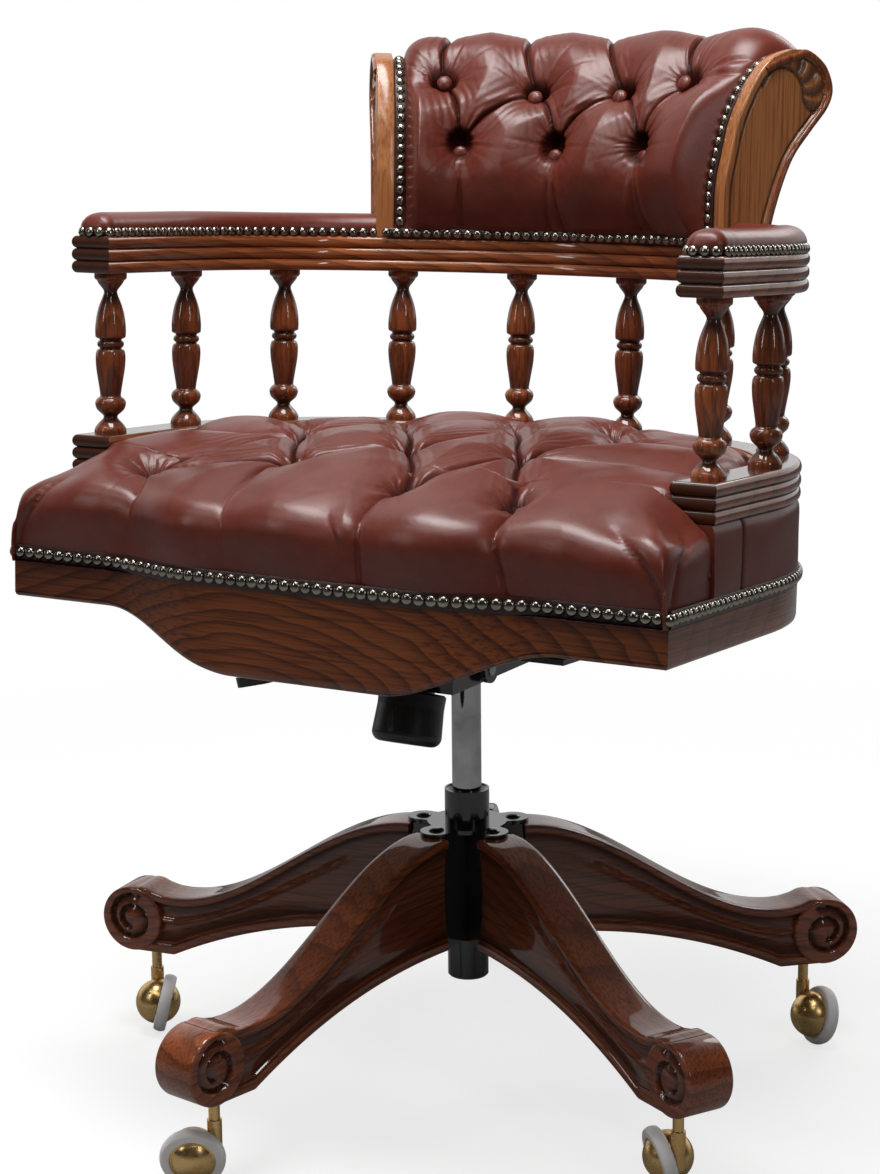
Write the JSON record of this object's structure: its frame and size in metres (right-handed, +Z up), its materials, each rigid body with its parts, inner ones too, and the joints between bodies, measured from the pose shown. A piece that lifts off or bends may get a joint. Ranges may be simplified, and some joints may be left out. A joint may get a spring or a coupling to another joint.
{
  "type": "captain's swivel desk chair",
  "caption": "Buttoned leather desk chair: rolled back on a turned spindle gallery with reeded rails, over a tilting, height-adjusting swivel and a scroll-leg star base on ball casters.",
  "frame": {"origin": "on the floor, on the axis of the column", "axes": "+Z up, the sitter faces -Y, +X is the sitter's left"},
  "size_m": [0.7404, 0.7499, 0.9839],
  "materials": {
    "dark_wood": "glossy varnish on dark walnut-stained hardwood",
    "light_wood": "glossy varnish on mid-brown hardwood",
    "plywood": "raw plywood",
    "leather": "semi-gloss oxblood leather with a rubbed, darker grain",
    "black_steel": "gloss black enamel",
    "bright_steel": "ground and plated",
    "brass": "satin lacquered brass",
    "tyre": "smooth pale grey rubber",
    "black_plastic": "moulded, slightly glossy"
  },
  "bodies": {
    "base": {"star_leg_1": "dark_wood", "star_leg_2": "dark_wood", "star_leg_3": "dark_wood", "star_leg_4": "dark_wood", "star_leg_5": "dark_wood", "hub_star": "black_steel", "hub_plate": "black_steel", "hub_screws": "black_steel", "column_tube": "black_steel", "guide_bush": "black_plastic", "thrust_bearing": "bright_steel"},
    "rod": {"piston_rod": "bright_steel"},
    "carriage": {"pressure_tube": "bright_steel", "mech_housing": "black_steel", "tilt_axle": "bright_steel", "tension_spring": "bright_steel"},
    "pin": {"valve_pin": "bright_steel"},
    "lever": {"lever_rod": "bright_steel", "lever_paddle": "black_plastic"},
    "knob": {"tension_knob": "black_plastic"},
    "seat": {"seat_plate": "black_steel", "plate_screws": "black_steel", "seat_battens": "dark_wood", "apron_front": "dark_wood", "seat_band": "dark_wood", "seat_deck": "plywood", "seat_border": "leather", "seat_cushion": "leather", "lower_rail": "dark_wood", "spindle_pair_1": "dark_wood", "spindle_pair_2": "dark_wood", "spindle_pair_3": "dark_wood", "spindle_pair_4": "dark_wood", "spindle_pair_5": "dark_wood", "upper_rail": "dark_wood", "arm_pad_left": "leather", "arm_pad_right": "leather", "wing_left": "light_wood", "wing_right": "light_wood", "back_frame": "plywood", "back_cover": "leather", "back_cushion": "leather", "back_buttons": "leather"},
    "caster_1": {"caster_hood_1": "brass"},
    "wheel_1": {"wheel_core_1": "brass", "wheel_tyre_1": "tyre"},
    "caster_2": {"caster_hood_2": "brass"},
    "wheel_2": {"wheel_core_2": "brass", "wheel_tyre_2": "tyre"},
    "caster_3": {"caster_hood_3": "brass"},
    "wheel_3": {"wheel_core_3": "brass", "wheel_tyre_3": "tyre"},
    "caster_4": {"caster_hood_4": "brass"},
    "wheel_4": {"wheel_core_4": "brass", "wheel_tyre_4": "tyre"},
    "caster_5": {"caster_hood_5": "brass"},
    "wheel_5": {"wheel_core_5": "brass", "wheel_tyre_5": "tyre"}
  },
  "joints": [
    {"name": "swivel", "type": "hinge", "parent": "base", "child": "rod", "pos_m": [0, 0, 0.15], "axis": [0, 0, 1], "continuous": true},
    {"name": "lift", "type": "slide", "parent": "rod", "child": "carriage", "axis": [0, 0, 1], "range_m": [-0.08, 0]},
    {"name": "tilt", "type": "hinge", "parent": "carriage", "child": "seat", "pos_m": [0, -0.048, 0.415], "axis": [-1, 0, 0], "range_deg": [0, 12], "stiffness_Nm_per_rad": 120, "springref_deg": -17.19},
    {"name": "lever_pivot", "type": "hinge", "parent": "carriage", "child": "lever", "pos_m": [-0.051, 0, 0.41], "axis": [0, 1, 0], "range_deg": [0, 5], "stiffness_Nm_per_rad": 2, "springref_deg": -5.73},
    {"name": "valve_travel", "type": "slide", "parent": "carriage", "child": "pin", "axis": [0, 0, -1], "range_m": [0, 0.005]},
    {"name": "knob_turn", "type": "hinge", "parent": "carriage", "child": "knob", "pos_m": [0, -0.099, 0.399], "axis": [0, 0.309, 0.9511], "continuous": true},
    {"name": "caster_swivel_1", "type": "hinge", "parent": "base", "child": "caster_1", "pos_m": [-0.14291, 0.31071, 0.07], "axis": [0, 0, 1], "continuous": true},
    {"name": "wheel_roll_1", "type": "hinge", "parent": "caster_1", "child": "wheel_1", "pos_m": [-0.12746, 0.32194, 0.03012], "axis": [-0.4851, 0.8403, -0.2419], "continuous": true},
    {"name": "caster_swivel_2", "type": "hinge", "parent": "base", "child": "caster_2", "pos_m": [-0.33966, -0.0399, 0.07], "axis": [0, 0, 1], "continuous": true},
    {"name": "wheel_roll_2", "type": "hinge", "parent": "caster_2", "child": "wheel_2", "pos_m": [-0.32843, -0.05536, 0.03012], "axis": [0.8403, 0.4851, -0.2419], "continuous": true},
    {"name": "caster_swivel_3", "type": "hinge", "parent": "base", "child": "caster_3", "pos_m": [-0.06701, -0.33537, 0.07], "axis": [0, 0, 1], "continuous": true},
    {"name": "wheel_roll_3", "type": "hinge", "parent": "caster_3", "child": "wheel_3", "pos_m": [-0.08247, -0.3466, 0.03012], "axis": [0.4851, -0.8403, -0.2419], "continuous": true},
    {"name": "caster_swivel_4", "type": "hinge", "parent": "base", "child": "caster_4", "pos_m": [0.29825, -0.16737, 0.07], "axis": [0, 0, 1], "continuous": true},
    {"name": "wheel_roll_4", "type": "hinge", "parent": "caster_4", "child": "wheel_4", "pos_m": [0.2834, -0.15535, 0.03012], "axis": [-0.6861, -0.6861, -0.2419], "continuous": true},
    {"name": "caster_swivel_5", "type": "hinge", "parent": "base", "child": "caster_5", "pos_m": [0.25134, 0.23193, 0.07], "axis": [0, 0, 1], "continuous": true},
    {"name": "wheel_roll_5", "type": "hinge", "parent": "caster_5", "child": "wheel_5", "pos_m": [0.26718, 0.22125, 0.03012], "axis": [0.6237, 0.7433, -0.2419], "continuous": true}
  ],
  "couplings": [
    {"joint": "valve_travel", "follows": "lever_pivot", "m_per_rad": 0.055}
  ]
}
